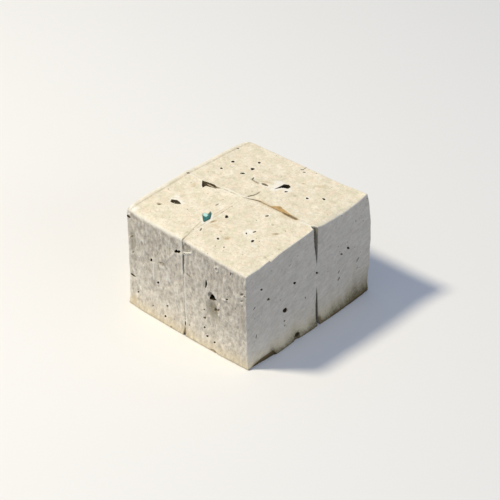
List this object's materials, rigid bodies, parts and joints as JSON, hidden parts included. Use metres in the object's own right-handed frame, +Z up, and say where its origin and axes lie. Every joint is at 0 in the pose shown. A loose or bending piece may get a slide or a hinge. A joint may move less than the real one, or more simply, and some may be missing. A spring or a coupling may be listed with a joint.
{
  "type": "tofu block",
  "caption": "Block of firm tofu cut crosswise into quarters that stand together, with pitted curd faces and narrow knife cuts.",
  "frame": {"origin": "under the middle of the block, on the surface it stands on", "axes": "+Z up; +Y along the longer side, towards the back quarters; +X along the shorter side; the streaky cut face with the large cavity faces -Y and the smooth cut face faces +X"},
  "size_m": [0.1034, 0.1113, 0.0724],
  "materials": {
    "curd": "moist pressed soya curd: cream, matte to faintly satin, mottled, with small dark pores and a tan soak band at the foot",
    "chip": "thin teal-green flake, slightly glossy, lying on the top"
  },
  "bodies": {
    "root": {"quarter_left": "curd", "quarter_front": "curd", "quarter_right": "curd", "quarter_back": "curd"}
  },
  "joints": []
}
